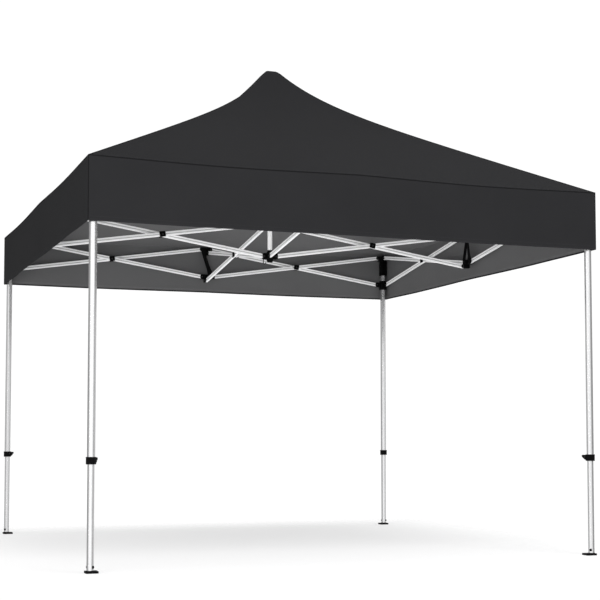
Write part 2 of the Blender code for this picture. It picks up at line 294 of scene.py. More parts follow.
def plastic_material(name):
    """Moulded nylon: near black, with a fine spark-eroded grain and slight scuffs."""
    n = Nodes(bpy.data.materials.new(name))
    n.set(Specular_IOR_Level=0.06)
    spots = n.add("TexCoord").outputs["Object"]
    grain = n.noise(spots, 1400.0, 2.0)
    scuff = n.noise(spots, 60.0, 6.0, Roughness=0.7)
    base = colours().plastic
    stops = [(0.42, base), (0.60, scaled(base, 1.5)), (0.74, scaled(base, 2.6))]
    n.link(n.ramp(scuff, stops), "Base Color")
    n.link(n.math("MULTIPLY_ADD", scuff, 0.25, 0.38), "Roughness")
    n.bump(grain, 0.25, 0.0002)
    return n.owner


def cloth_axes(n):
    """The sockets of the flat cloth's width and length, and both as one vector."""
    flat = n.add("UVMap", uv_map="cloth").outputs["UV"]
    split = n.add("SeparateXYZ", {"Vector": flat}).outputs
    return split["X"], split["Y"], flat


def weave(n, across, along, pitch):
    """Height of a plain weave with that distance between its threads."""
    threads = [n.math("SINE", n.math("MULTIPLY", way, 2 * math.pi / pitch)) for way in (across, along)]
    return n.math("MULTIPLY", *threads)


def stitches(n, across, along):
    """1 on the thread of the lockstitch rows, which run along the hem and the eave."""
    near = [n.math("COMPARE", along, row, 0.0006) for row in (0.0060, 0.0225, 1.7720)]
    rows = n.math("MAXIMUM", n.math("MAXIMUM", near[0], near[1]), near[2])
    waves = n.math("SINE", n.math("MULTIPLY", across, 2 * math.pi / 0.0045))
    return n.math("MULTIPLY", rows, n.math("GREATER_THAN", waves, -0.3))


def fabric_material(name, base, roughness, gloss):
    """Coated polyester: a plain weave, slubs, faint cloudiness of the dye and stitch rows."""
    n = Nodes(bpy.data.materials.new(name))
    n.set(Specular_IOR_Level=gloss)
    across, along, flat = cloth_axes(n)
    height = weave(n, across, along, 0.0016)
    cloud = n.noise(flat, 2.2, 5.0, Roughness=0.6)
    slub = n.noise(n.value("Mapping", {"Vector": flat, "Scale": (900.0, 60.0, 1.0)}), 1.0, 2.0)
    stitch = stitches(n, across, along)
    tone = n.math("MULTIPLY_ADD", slub, 0.25, n.math("MULTIPLY", cloud, 0.69))
    tone = n.math("MAXIMUM", n.math("MULTIPLY_ADD", height, 0.06, tone), stitch)
    stops = [(0.25, scaled(base, 0.90)), (0.70, scaled(base, 1.10)), (0.95, scaled(base, 1.9))]
    n.link(n.ramp(tone, stops), "Base Color")
    n.link(n.math("MULTIPLY_ADD", cloud, 0.12, roughness - 0.06), "Roughness")
    relief = n.math("ADD", n.math("MULTIPLY_ADD", slub, 0.3, height), n.math("MULTIPLY", stitch, 1.5))
    n.bump(relief, 0.25, 0.0003)
    return n.owner


def webbing_material(name):
    """Black webbing: a coarse weave with slanting ribs."""
    n = Nodes(bpy.data.materials.new(name))
    n.set(Specular_IOR_Level=0.1, Roughness=0.8)
    across, along, flat = cloth_axes(n)
    height = weave(n, across, along, 0.0022)
    rib = n.math("SINE", n.math("MULTIPLY", n.math("ADD", across, along), 1900.0))
    tone = n.math("MULTIPLY_ADD", rib, 0.25, 0.5)
    n.link(n.ramp(tone, [(0.2, (0.0025, 0.0025, 0.0025)), (0.8, (0.0080, 0.0080, 0.0085))]), "Base Color")
    n.bump(n.math("ADD", height, rib), 0.5, 0.0004)
    return n.owner


def floor_material(name):
    """A pale studio floor that fades into the backdrop round the footprint."""
    n = Nodes(bpy.data.materials.new(name))
    n.tree.nodes.clear()
    split = n.add("SeparateXYZ", {"Vector": n.add("TexCoord").outputs["Object"]}).outputs
    far = n.math("MAXIMUM", n.math("ABSOLUTE", split["X"]), n.math("ABSOLUTE", split["Y"]))
    fade = n.spread(far, {"From Min": 1.30, "From Max": 2.50}, interpolation_type="SMOOTHSTEP")
    glow = n.value("Emission", {"Color": WHITE, "Strength": 0.54})
    matt = n.value("BsdfDiffuse", {"Color": (0.42, 0.42, 0.42, 1)})
    both = n.value("AddShader", {0: glow, 1: matt})
    clear = n.value("BsdfTransparent")
    hidden = n.math("MAXIMUM", fade, n.add("LightPath").outputs["Is Glossy Ray"])
    n.add("OutputMaterial", {"Surface": n.value("MixShader", {0: hidden, 1: both, 2: clear})})
    return n.owner


FINISHES = {
    "anodised_aluminium": lambda name: aluminium_material(name, 1.0, 0.92, 0.12),
    "satin_bar": lambda name: aluminium_material(name, 1.08, 0.05, 0.40),
    # A darker copy of the bars' aluminium: painted shade on the floor of each bar's groove.
    "bar_groove": lambda name: aluminium_material(name, 0.56, 0.05, 0.50),
    "zinc_rivet": steel_material,
    "moulded_nylon": plastic_material,
    "black_webbing": webbing_material,
    "fabric_outside": lambda name: fabric_material(name, colours().fabric_outside, 0.85, 0.06),
    "fabric_inside": lambda name: fabric_material(name, colours().fabric_inside, 0.70, 0.25),
    # A darker copy of the fabric for the binding and seams; along the eave its darkness is also painted
    # shade in the fold between roof and valance.
    "fabric_binding": lambda name: fabric_material(name, (0.0065, 0.0065, 0.007), 0.85, 0.08),
    "studio_floor": floor_material,
}


def coat(piece, *names):
    """Gives the piece these finishes, each made the first time that it is asked for."""
    piece.data.materials.clear()
    for name in names:
        piece.data.materials.append(bpy.data.materials.get(name) or FINISHES[name](name))
    return piece


# Modelling helpers.

def choose(piece):
    """Makes one object the only selected and active one."""
    if bpy.context.object and bpy.context.object.mode != "OBJECT":
        bpy.ops.object.mode_set(mode="OBJECT")
    bpy.ops.object.select_all(action="DESELECT")
    piece.select_set(True)
    bpy.context.view_layer.objects.active = piece


def place_mesh(piece):
    """Puts the object's place, turn and size into its mesh."""
    piece.data.transform(piece.matrix_basis)
    piece.matrix_basis = Matrix.Identity(4)
    return piece


def turned(piece, matrix):
    piece.data.transform(matrix)
    piece.data.update()
    return piece


def spin(degrees, axis="Z"):
    return Matrix.Rotation(math.radians(degrees), 4, axis)


def add_box(low, high):
    low, high = Vector(low), Vector(high)
    bpy.ops.object.select_all(action="DESELECT")
    bpy.ops.mesh.primitive_cube_add(size=1, location=(low + high) / 2)
    piece = bpy.context.object
    piece.scale = high - low
    return place_mesh(piece)


def add_rod(start, end, radius, vertices=20, turn=0.0, caps="NGON"):
    """A cylinder, or a prism with few vertices, between two points."""
    start, end = Vector(start), Vector(end)
    bpy.ops.object.select_all(action="DESELECT")
    bpy.ops.mesh.primitive_cylinder_add(vertices=vertices, radius=radius, depth=(end - start).length,
                                        end_fill_type=caps)
    piece = bpy.context.object
    aim = (end - start).to_track_quat("Z", "Y").to_matrix().to_4x4()
    piece.matrix_basis = Matrix.Translation((start + end) / 2) @ aim @ spin(turn)
    return place_mesh(piece)


def add_post(low, high, radius, vertices=48):
    return add_rod((0, 0, low), (0, 0, high), radius, vertices)


def add_hex(low, high, across, caps="NGON"):
    """An upright six-sided prism, sized across its flats, with one corner to -X -Y."""
    return add_rod((0, 0, low), (0, 0, high), across / ROOT3, 6, 15, caps)


def edit(piece, kind, test):
    """Opens edit mode with the edges or faces that pass the test selected."""
    choose(piece)
    bpy.ops.object.mode_set(mode="EDIT")
    bpy.ops.mesh.select_mode(type="EDGE" if kind == "edges" else "FACE")
    bpy.ops.mesh.select_all(action="DESELECT")
    bm = bmesh.from_edit_mesh(piece.data)
    for item in getattr(bm, kind):
        item.select_set(bool(test(item)))
    bm.select_flush_mode()
    bmesh.update_edit_mesh(piece.data)


def leave_edit():
    bpy.ops.object.mode_set(mode="OBJECT")


def bevel_edges(piece, test, width, segments=3):
    edit(piece, "edges", test)
    bpy.ops.mesh.bevel(offset=width, segments=segments, affect="EDGES", offset_type="OFFSET")
    leave_edit()
    return piece


def edges_along(axis, where=lambda spot: True):
    """A test for edges that run along X, Y or Z and start at such a spot."""
    index = "XYZ".index(axis)

    def test(edge):
        start, end = (v.co for v in edge.verts)
        return abs((end - start)[index]) > 0.999 * (end - start).length and where(start)
    return test


def edges_past(point, way):
    """A test for edges that lie wholly past a plane through the point, square to the way."""
    return lambda edge: all((v.co - Vector(point)).dot(Vector(way)) > 0 for v in edge.verts)


def apply_modifier(piece, kind, **settings):
    choose(piece)
    modifier = piece.modifiers.new(kind.lower(), kind)
    for key, value in settings.items():
        setattr(modifier, key, value)
    bpy.ops.object.modifier_apply(modifier=modifier.name)
    return piece


def boolean(piece, others, operation):
    for other in others:
        apply_modifier(piece, "BOOLEAN", operation=operation, solver="EXACT", object=other)
        bpy.data.objects.remove(other, do_unlink=True)
    return piece


def unite(piece, *others):
    return boolean(piece, others, "UNION")


def cut(piece, *others):
    return boolean(piece, others, "DIFFERENCE")


def soften(piece, width=0.0007):
    """Rounds every sharp edge of a moulded or cut piece."""
    return apply_modifier(piece, "BEVEL", width=width, segments=2, limit_method="ANGLE",
                          angle_limit=math.radians(35))


def smooth(piece, degrees=30):
    choose(piece)
    bpy.ops.object.shade_smooth_by_angle(angle=math.radians(degrees))
    return piece


def moulded(piece, width=0.0007):
    return coat(smooth(soften(piece, width)), "moulded_nylon")


def zinced(piece):
    return coat(smooth(piece), "zinc_rivet")


def join(pieces):
    """Joins loose parts of one piece, such as a set of rivets."""
    choose(pieces[0])
    for piece in pieces[1:]:
        piece.select_set(True)
    bpy.ops.object.join()
    return pieces[0]


def record_grain(piece, along):
    """Keeps each point's place along and across the section, for the drawn lines."""
    order = {"X": (0, 1, 2), "Z": (2, 0, 1)}[along]
    layer = piece.data.attributes.new("grain", "FLOAT_VECTOR", "POINT")
    for vertex, item in zip(piece.data.vertices, layer.data):
        item.vector = [vertex.co[i] for i in order]
    return piece


def copied(piece, matrix):
    """A copy with a mesh of its own, moved and turned by the matrix."""
    copy = bpy.data.objects.new(piece.name, piece.data.copy())
    bpy.context.scene.collection.objects.link(copy)
    return turned(copy, matrix)


def settle(piece, name, body, node=None, slot=None):
    """Names the piece and says what it rides on and which node it stands for; the slot is not used."""
    piece.name = piece.data.name = name
    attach(piece, body)
    if node:
        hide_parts(node)
    return piece


def around(piece, places, *words):
    """The piece and three copies, a quarter turn apart, each settled by the same words.

    The words are what settle takes: name, body, node and slot. A pair of braces in them
    stands for the side or the corner.
    """
    made = [piece] + [copied(piece, spin(90 * quarter)) for quarter in (1, 2, 3)]
    return [settle(copy, *(w and w.format(place) for w in words)) for copy, place in zip(made, places)]


def at_legs(piece, *words):
    """A piece drawn about the leg's centre, on all four legs."""
    return around(turned(piece, Matrix.Translation((-LEG_HALF, -LEG_HALF, 0))), CORNERS, *words)


# The frame's metal.

def hex_tube(across, low, high, wall):
    """A hollow six-sided tube with rounded corners."""
    tube = bevel_edges(add_hex(low, high, across, "NOTHING"), edges_along("Z"), TUBE_CORNER, 4)
    apply_modifier(tube, "SOLIDIFY", thickness=wall, offset=-1, use_even_offset=True)
    return coat(smooth(record_grain(tube, "Z")), "anodised_aluminium")


def rivet_head(at, out, radius, height):
    """A domed head standing on a face at that point."""
    at, out = Vector(at), Vector(out).normalized()
    head = add_rod(at - out * 0.0004, at + out * height, radius)
    return bevel_edges(head, edges_past(at + out * height * 0.9, out), height * 0.55)


class GAZEBO_OT_leg_tubes(Operator):
    """Hexagonal outer and inner tubes of the four legs"""
    bl_idname = "gazebo.leg_tubes"
    bl_label = "Leg Tubes"

    def execute(self, context):
        outer = hex_tube(sizes().outer_tube, TUBE_BOTTOM, TUBE_TOP, OUTER_WALL)
        at_legs(outer, "outer_tube_{}", "leg_{}", "leg_tube_{}", "aluminium")
        inner = hex_tube(sizes().inner_tube, INNER_BOTTOM, INNER_TOP, INNER_WALL)
        at_legs(inner, "inner_tube_{}", "inner_leg_{}", "inner_leg_{}", "aluminium")
        bolts = []
        for out in (Vector((-1, 1, 0)), Vector((1, -1, 0))):
            out.normalize()
            bolts.append(rivet_head(out * 0.0164 + Vector((0, 0, 0.031)), out, 0.0076, 0.0046))
        at_legs(coat(smooth(join(bolts)), "moulded_nylon"), "foot_bolts_{}", "inner_leg_{}")
        return {"FINISHED"}


def truss_bar():
    """One bar about its middle, along X: a rounded flat section with a groove, whose floor carries painted
    shade, and three holes.
    """
    s = sizes()
    reach, half, thick = BAR_LENGTH / 2, s.bar_width / 2, s.bar_thickness / 2
    bar = add_box((-reach - half, -thick, -half), (reach + half, thick, half))
    bevel_edges(bar, edges_along("Y"), half * 0.9, 6)

    def round_a_broad_face(edge):
        a, b = (v.co.y for v in edge.verts)
        return abs(abs(a) - thick) < NEAR and abs(a - b) < NEAR

    bevel_edges(bar, round_a_broad_face, 0.0020)
    end = reach + half * 0.6
    levels = (GROOVE_HALF + GROOVE_LIP, GROOVE_HALF, -GROOVE_HALF, -GROOVE_HALF - GROOVE_LIP)
    cuts = [((0, 0, z), (0, 0, 1)) for z in levels]
    cuts += [((x, 0, 0), (1, 0, 0)) for x in (-end - 0.001, -end, end, end + 0.001)]
    for place, normal in cuts:
        edit(bar, "faces", lambda f: True)
        bpy.ops.mesh.bisect(plane_co=place, plane_no=normal)
        leave_edit()
    sink_groove(bar, end, thick)
    cut(bar, *[add_rod((x, -0.02, 0), (x, 0.02, 0), HOLE_R) for x in (-reach, 0, reach)])
    coat(smooth(record_grain(bar, "X"), 25), "satin_bar", "bar_groove")
    # Faces on the floor of the groove take the second, darker finish: painted shade in the recess.
    spots = [v.co for v in bar.data.vertices]
    for face in bar.data.polygons:
        low = all(abs(spots[i].z) < GROOVE_HALF + NEAR and abs(spots[i].y) < thick - s.groove_depth / 2
                  for i in face.vertices)
        face.material_index = 1 if low and abs(face.normal.y) > 0.9 else 0
    return bar


def sink_groove(bar, end, thick):
    """Moves the points of both broad faces that lie between the cuts inward."""
    for vertex in bar.data.vertices:
        between = abs(vertex.co.z) < GROOVE_HALF + NEAR and abs(vertex.co.x) < end + NEAR
        if between and abs(abs(vertex.co.y) - thick) < NEAR:
            vertex.co.y -= math.copysign(sizes().groove_depth, vertex.co.y)


def bar_places():
    """Each bar of the front side: its node, and the matrix that puts it in its place."""
    middle_x, middle_z = MID_PIN + SPAN / 2, (PIN_HIGH + PIN_LOW) / 2
    slope = math.degrees(SLOPE)
    places = []
    for hand, side, down in (("left", -1, 180 - slope), ("right", 1, slope)):
        for kind, y, angle in (("outer", -PLANE, down), ("inner", PLANE, 180 - down)):
            middle = Matrix.Translation((side * middle_x, y - LEG_HALF, middle_z))
            places.append((f"{{}}_{kind}_bar_{hand}", middle @ spin(angle, "Y")))
    for kind, x, angle in (("low", PLANE, 180 - slope), ("high", -PLANE, slope)):
        middle = Matrix.Translation((x, -middle_x, middle_z - CROSS_DROP))
        places.append((f"{{}}_cross_bar_{kind}", middle @ spin(90) @ spin(angle, "Y")))
    return places


class GAZEBO_OT_truss_bars(Operator):
    """The scissor bars of the side and cross trusses"""
    bl_idname = "gazebo.truss_bars"
    bl_label = "Truss Bars"

    def execute(self, context):
        pattern = truss_bar()
        for node, matrix in bar_places():
            name, body = node.replace("_bar_", "_scissor_"), node.replace("_bar_", "_")
            around(copied(pattern, matrix), SIDES, name, body, node, "aluminium")
        bpy.data.objects.remove(pattern, do_unlink=True)
        return {"FINISHED"}


def block_faces():
    """Where the inner faces of a crossing's two plates are, along Y."""
    thick = sizes().bar_thickness / 2
    return -thick - 0.0002, 2 * PLANE + thick + 0.0004


def middle_block():
    """The black plates either side of a crossing, with the spacer and pin between them."""
    thick = sizes().bar_thickness / 2
    near, far = block_faces()
    plates = []
    for low, high in ((near - BLOCK_PLATE, near), (far, far + BLOCK_PLATE)):
        plate = add_box((-0.020, low, -0.0178), (0.020, high, 0.0178))
        bevel_edges(plate, edges_along("Y"), 0.004, 4)
        plates.append(soften(plate, 0.0010))
    spacer = add_rod((0, thick + 0.0002, 0), (0, 2 * PLANE - thick - 0.0002, 0), 0.012, 28)
    pin = add_rod((0, near - 0.003, 0), (0, far + 0.003, 0), PIN_R)
    return coat(smooth(unite(plates[0], pin, spacer, plates[1])), "moulded_nylon")


def middle_rivets():
    near, far = block_faces()
    return zinced(join([rivet_head((0, near - BLOCK_PLATE, 0), (0, -1, 0), 0.0062, 0.0020),
                        rivet_head((0, far + BLOCK_PLATE, 0), (0, 1, 0), 0.0062, 0.0020)]))


class GAZEBO_OT_middle_blocks(Operator):
    """Black blocks and rivets where two bars cross"""
    bl_idname = "gazebo.middle_blocks"
    bl_label = "Middle Blocks"

    def execute(self, context):
        for word, pattern in (("block", middle_block()), ("rivets", middle_rivets())):
            for node, matrix in bar_places():
                if "outer" in node or "low" in node:
                    name, body = node.replace("_bar_", f"_{word}_"), node.replace("_bar_", "_")
                    around(copied(pattern, matrix), SIDES, name, body)
            bpy.data.objects.remove(pattern, do_unlink=True)
        return {"FINISHED"}


# Moulded joints.

def ear_spans(plane):
    """From where to where a fork's two ears reach, with its bar in that plane."""
    return (plane - FORK, plane - SLOT), (plane + SLOT, plane + FORK)


def ear(root, tip, low, high, middle, half, radius):
    """A fork's ear along +X from root to a rounded tip, between low and high in Y."""
    piece = add_box((root, low, middle - half), (tip, high, middle + half))
    return bevel_edges(piece, edges_along("Y", lambda spot: spot.x > tip - NEAR), radius, 5)


def pin_set(pins):
    """Shafts with a domed head at each end, for (start, end) pairs."""
    parts = []
    for start, end in pins:
        start, end = Vector(start), Vector(end)
        out = (end - start).normalized()
        shaft = add_rod(start - out * 0.0002, end + out * 0.0002, PIN_R)
        heads = [rivet_head(at, way, 0.0068, 0.0018) for at, way in ((start, -out), (end, out))]
        parts.append(unite(shaft, *heads))
    return zinced(join(parts))


def swap_xy(piece):
    """A mirror image of the piece across the corner's diagonal."""
    copy = copied(piece, Matrix(((0, 1, 0, 0), (1, 0, 0, 0), (0, 0, 1, 0), (0, 0, 0, 1))))
    copy.data.flip_normals()
    return copy


def corner_forks(plane, root, tip, middle, half):
    """Ears to +X and to +Y at a leg, round a bar at that distance inward."""
    ears = [ear(root, LEG_PIN + tip, low, high, middle, half, min(half * 0.9, EAR_ROUND))
            for low, high in ear_spans(plane)]
    return ears + [swap_xy(e) for e in ears]


def corner_pins(plane, height):
    low, high = plane - FORK, plane + FORK
    return pin_set([((LEG_PIN, low, height), (LEG_PIN, high, height)),
                    ((low, LEG_PIN, height), (high, LEG_PIN, height))])


def rounded_post(half, low, high, radius):
    return bevel_edges(add_box((-half, -half, low), (half, half, high)), edges_along("Z"), radius, 5)


class GAZEBO_OT_leg_heads(Operator):
    """Black sleeves on the leg tops, each with forks for two trusses"""
    bl_idname = "gazebo.leg_heads"
    bl_label = "Leg Heads"

    def execute(self, context):
        top, stop = PIN_HIGH + 0.0125, LEG_PIN - PIN_TO_BLOCK - 0.0004
        head = rounded_post(0.0235, HEAD_BOTTOM, top - 0.0006, 0.008)
        block = add_box((-0.0205, -0.0205, top - 0.0345), (stop, stop, top))
        bevel_edges(block, edges_along("Z", lambda spot: spot.x > 0 and spot.y > 0), 0.012, 4)
        collar = rounded_post(0.0243, HEAD_BOTTOM, HEAD_BOTTOM + 0.008, 0.0085)
        web = add_box((-0.001, -0.001, top - 0.075), (0.0300, 0.0300, top - 0.020))
        unite(head, block, collar, web, *corner_forks(PLANE, 0.010, TIP, PIN_HIGH, 0.0124))
        cut(head, add_hex(1.90, TUBE_TOP + 0.0004, 0.0224 * ROOT3))
        at_legs(moulded(head), "head_{}", "leg_{}", "leg_head_{}", "black_plastic")
        at_legs(corner_pins(PLANE, PIN_HIGH), "head_pins_{}", "leg_{}")
        return {"FINISHED"}


class GAZEBO_OT_sliders(Operator):
    """Black collars that run on the outer tubes, with their snap buttons"""
    bl_idname = "gazebo.sliders"
    bl_label = "Sliders"

    def execute(self, context):
        low, high = SLIDER
        slider = rounded_post(0.0240, low, high, 0.008)
        stop = LEG_PIN - PIN_TO_BLOCK - 0.0004
        block = add_box((0.010, -PLANE - FORK, PIN_LOW - 0.0160), (stop, -PLANE + FORK, PIN_LOW + 0.0160))
        arms = [block, swap_xy(block)] + corner_forks(-PLANE, 0.012, 0.0115, PIN_LOW, 0.0165)
        gusset = add_box((0.004, -PLANE - 0.004, low + 0.004), (0.0340, -PLANE + 0.004, PIN_LOW - 0.010))
        bevel_edges(gusset, edges_along("Y", lambda spot: spot.x > 0.03 and spot.z < low + 0.01), 0.017, 1)
        unite(slider, *arms, gusset, swap_xy(gusset))
        cut(slider, add_hex(1.80, 2.00, 0.02254 * ROOT3))
        at_legs(moulded(slider), "slider_{}", "slider_{}", "leg_slider_{}", "black_plastic")
        button = rivet_head((-0.0238, 0.008, 1.909), (-1, 0, 0), 0.0045, 0.0030)
        at_legs(zinced(join([corner_pins(-PLANE, PIN_LOW), button])), "slider_pins_{}", "slider_{}")
        return {"FINISHED"}


class GAZEBO_OT_clamps(Operator):
    """Height clamps at the bottom of the outer tubes, with their levers"""
    bl_idname = "gazebo.clamps"
    bl_label = "Height Clamps"

    def execute(self, context):
        at_legs(self.ring(), "clamp_{}", "leg_{}", "leg_clamp_{}", "black_plastic")
        at_legs(self.lever(), "clamp_lever_{}", "leg_{}", None, "black_plastic")
        screws = [rivet_head((0.0300, side * 0.0130, 0.5680), (0, side, 0), 0.0036, 0.0014)
                  for side in (-1, 1)]
        at_legs(turned(zinced(join(screws)), spin(45)), "clamp_screws_{}", "leg_{}")
        return {"FINISHED"}

    def ring(self):
        low, high = CLAMP
        ring = bevel_edges(add_hex(low, high, 0.0490), edges_along("Z"), 0.0065, 4)
        parts = [bevel_edges(add_hex(high - 0.0070, high - 0.0004, 0.0505), edges_along("Z"), 0.0065, 4)]
        for middle in (-0.0112, 0.0112):
            lug = add_box((0.014, middle - 0.0018, 0.5530), (0.0350, middle + 0.0018, 0.5790))
            bevel_edges(lug, edges_along("Y", lambda spot: spot.x > 0.03), 0.008, 4)
            parts.append(turned(lug, spin(45)))
        seat = add_hex(TUBE_BOTTOM - 0.0003, 0.62, 0.02211 * ROOT3)
        mouth = add_hex(0.50, 0.57, 0.0340)
        return moulded(cut(unite(ring, *parts), seat, mouth), 0.0009)

    def lever(self):
        lever = add_box((0.0265, -0.0090, 0.5500), (0.0480, 0.0090, 0.5805))
        edit(lever, "edges", edges_along("Y", lambda spot: spot.x > 0.04 and spot.z < 0.56))
        bpy.ops.transform.translate(value=(0.0, 0.0, 0.0190))
        leave_edit()
        bevel_edges(lever, edges_along("Y", lambda spot: spot.x > 0.04), 0.0035)
        return turned(moulded(lever, 0.0010), spin(45))


class GAZEBO_OT_feet(Operator):
    """Foot plates with a peg hole and a plug up into the tube"""
    bl_idname = "gazebo.feet"
    bl_label = "Feet"

    def execute(self, context):
        low, high, peg = FOOT_SHIFT - 0.032, FOOT_SHIFT + 0.032, FOOT_SHIFT + 0.0205
        plate = add_box((low, low, 0), (high, high, FOOT_THICK))
        bevel_edges(plate, edges_along("Z"), 0.005, 4)
        collar = add_hex(0.004, FOOT_THICK + 0.0030, 0.0226 * ROOT3)
        unite(plate, bevel_edges(collar, edges_along("Z"), 0.004))
        cut(plate, add_hex(FOOT_THICK, 0.05, sizes().inner_tube + 0.0004))
        unite(plate, add_hex(0.004, 0.044, 0.0290))
        cut(plate, add_rod((peg, peg, -0.01), (peg, peg, 0.02), 0.0048))
        at_legs(moulded(plate, 0.0011), "foot_plate_{}", "inner_leg_{}", "foot_{}", "black_plastic")
        return {"FINISHED"}


def side_bracket(plane, half):
    """Forks at the middle of a side, drawn about the side pins' height."""
    reach, block = MID_PIN + TIP, MID_PIN - PIN_TO_BLOCK
    low, high = plane - SLOT - 0.001, plane + SLOT + 0.001
    start, stop = max(plane - FORK + 0.003, -0.017), MID_INNER_PIN - 0.0150
    plates, forks = [], []
    for near, far in ear_spans(plane):
        plate = add_box((-reach, near, -half), (reach, far, half))
        plates.append(bevel_edges(plate, edges_along("Y"), min(half * 0.9, EAR_ROUND), 5))
        fork = ear(start + 0.002, MID_INNER_PIN + TIP, -far, -near, -CROSS_DROP, 0.0124, 0.0112)
        forks.append(turned(fork, spin(90)))
    body = add_box((-block, low, -half + 0.0006), (block, high, half - 0.0006))
    inner = add_box((low, start + 0.0015, -CROSS_DROP - 0.0118), (high, stop, -CROSS_DROP + 0.0118))
    column = add_box((plane - FORK + 0.001, start + 0.001, -CROSS_DROP - 0.008),
                     (plane + FORK - 0.001, stop - 0.002, half - 0.003))
    return moulded(unite(plates[0], body, plates[1], column, inner, *forks))


class GAZEBO_OT_side_brackets(Operator):
    """Upper and lower black brackets in the middle of each side"""
    bl_idname = "gazebo.side_brackets"
    bl_label = "Side Brackets"

    def execute(self, context):
        for body, plane, height, half in (("{}_upper", -PLANE, PIN_HIGH, 0.0125),
                                          ("{}_lower", PLANE, PIN_LOW, 0.0175)):
            place = Matrix.Translation((0, -LEG_HALF, height))
            bracket = turned(side_bracket(plane, half), place)
            around(bracket, SIDES, body + "_fork", body, body + "_bracket", "black_plastic")
            low, high = plane - FORK, plane + FORK
            pins = [((x, low, 0), (x, high, 0)) for x in (-MID_PIN, MID_PIN)]
            pins.append(((low, MID_INNER_PIN, -CROSS_DROP), (high, MID_INNER_PIN, -CROSS_DROP)))
            around(turned(pin_set(pins), place), SIDES, body + "_pins", body)
        return {"FINISHED"}


def hub(plane, height, bore):
    """A round body with four forks in a pinwheel, and either a bore or a cup under it."""
    body = add_post(height - 0.0275, height + 0.0275, 0.0213)
    arms = []
    for quarter in range(4):
        for inner, outer in ear_spans(plane):
            one = add_box((inner, -MID_PIN - TIP, height - 0.0200), (outer, -0.002, height + 0.0200))
            bevel_edges(one, edges_along("X", lambda spot: spot.y < -0.03), 0.0118, 5)
            arms.append(turned(one, spin(90 * quarter)))
        web = add_box((plane - SLOT - 0.001, -0.0206, height - 0.0192),
                      (plane + SLOT + 0.001, -0.001, height + 0.0192))
        arms.append(turned(web, spin(90 * quarter)))
    unite(body, *arms)
    if bore:
        cut(body, add_post(height - 0.05, height + 0.05, bore))
    else:
        bottom = height - 0.0400
        cup = add_post(bottom, height - 0.0270, 0.0190)
        unite(body, bevel_edges(cup, edges_past((0, 0, bottom + NEAR), (0, 0, -1)), 0.0060, 4))
    return moulded(body)


def lamp_hook(bottom):
    """A wire bent into an open loop, which hangs off a fork of the lower hub."""
    x, y, radius = -0.0450, -0.0008, 0.0085
    hook = bpy.data.curves.new("lamp_hook", "CURVE")
    hook.dimensions = "3D"
    hook.bevel_depth = 0.0028
    hook.bevel_resolution = 3
    hook.use_fill_caps = True
    points = [(x, y, bottom + 0.006), (x, y, bottom - 0.022)]
    for turn in (math.radians(a) for a in range(180, 405, 25)):
        points.append((x + radius + radius * math.cos(turn), y, bottom - 0.0235 + radius * math.sin(turn)))
    line = hook.splines.new("POLY")
    line.points.add(len(points) - 1)
    for spot, point in zip(line.points, points):
        spot.co = (*point, 1)
    piece = bpy.data.objects.new("lamp_hook", hook)
    bpy.context.scene.collection.objects.link(piece)
    choose(piece)
    bpy.ops.object.convert(target="MESH")
    return coat(smooth(apply_modifier(bpy.context.object, "WELD", merge_threshold=0.0001)), "moulded_nylon")


class GAZEBO_OT_hubs(Operator):
    """Upper and lower hub, their pins and the lamp hook under the lower one"""
    bl_idname = "gazebo.hubs"
    bl_label = "Hubs"

    def execute(self, context):
        high, low = PIN_HIGH - CROSS_DROP, PIN_LOW - CROSS_DROP
        for word, body, plane, height, bore in (("upper", "hub", PLANE, high, 0.0154),
                                                ("lower", "lower_hub", -PLANE, low, 0)):
            settle(hub(plane, height, bore), f"truss_hub_{word}", body, f"hub_{word}", "black_plastic")
            pin = [Vector((x, -MID_PIN, height)) for x in (plane - FORK, plane + FORK)]
            pins = [[spin(90 * quarter) @ end for end in pin] for quarter in range(4)]
            settle(pin_set(pins), f"hub_{word}_pins", body)
        settle(lamp_hook(low - 0.0200), "lamp_hook", "lower_hub")
        return {"FINISHED"}


class GAZEBO_OT_mast(Operator):
    """The mast and the round cap that carries the roof's peak"""
    bl_idname = "gazebo.mast"
    bl_label = "Mast"

    def execute(self, context):
        tube = soften(add_post(MAST_BOTTOM + 0.002, MAST_TOP - 0.006, 0.0150, 40), 0.0008)
        tube = coat(smooth(record_grain(tube, "Z")), "satin_bar")
        settle(tube, "mast_tube", "mast", "mast", "aluminium")
        cap = add_post(MAST_TOP - 0.0115, MAST_TOP, 0.0335)
        bevel_edges(cap, edges_past((0, 0, MAST_TOP - NEAR), (0, 0, 1)), 0.0060, 5)
        unite(cap, add_post(MAST_TOP - 0.045, MAST_TOP - 0.008, 0.0195, 40))
        settle(moulded(cap, 0.0008), "mast_cap", "mast")
        plug = add_post(MAST_BOTTOM, MAST_BOTTOM + 0.012, 0.0158, 40)
        settle(moulded(plug, 0.0008), "mast_plug", "mast")
        return {"FINISHED"}


# Canopy.

def eave_share(out):
    """How far down the roof a place is, from 0 at the peak's edge to 1 at the eave."""
    return (out - PEAK_HALF) / (CANOPY_HALF - PEAK_HALF)


def ridge_height(out):
    """Height of the roof along a ridge, out metres from the middle on both axes."""
    share = eave_share(out)
    return EAVE_Z + (PEAK_Z - EAVE_Z) * (1 - share) * (0.832 + 0.168 * math.exp(-share / 0.18))


def eave_drop(x):
    """The eave hangs a little between the leg and the middle bracket."""
    return sizes().eave_sag * math.sin(math.pi * min(abs(x) / CANOPY_HALF, 1.0)) ** 1.3


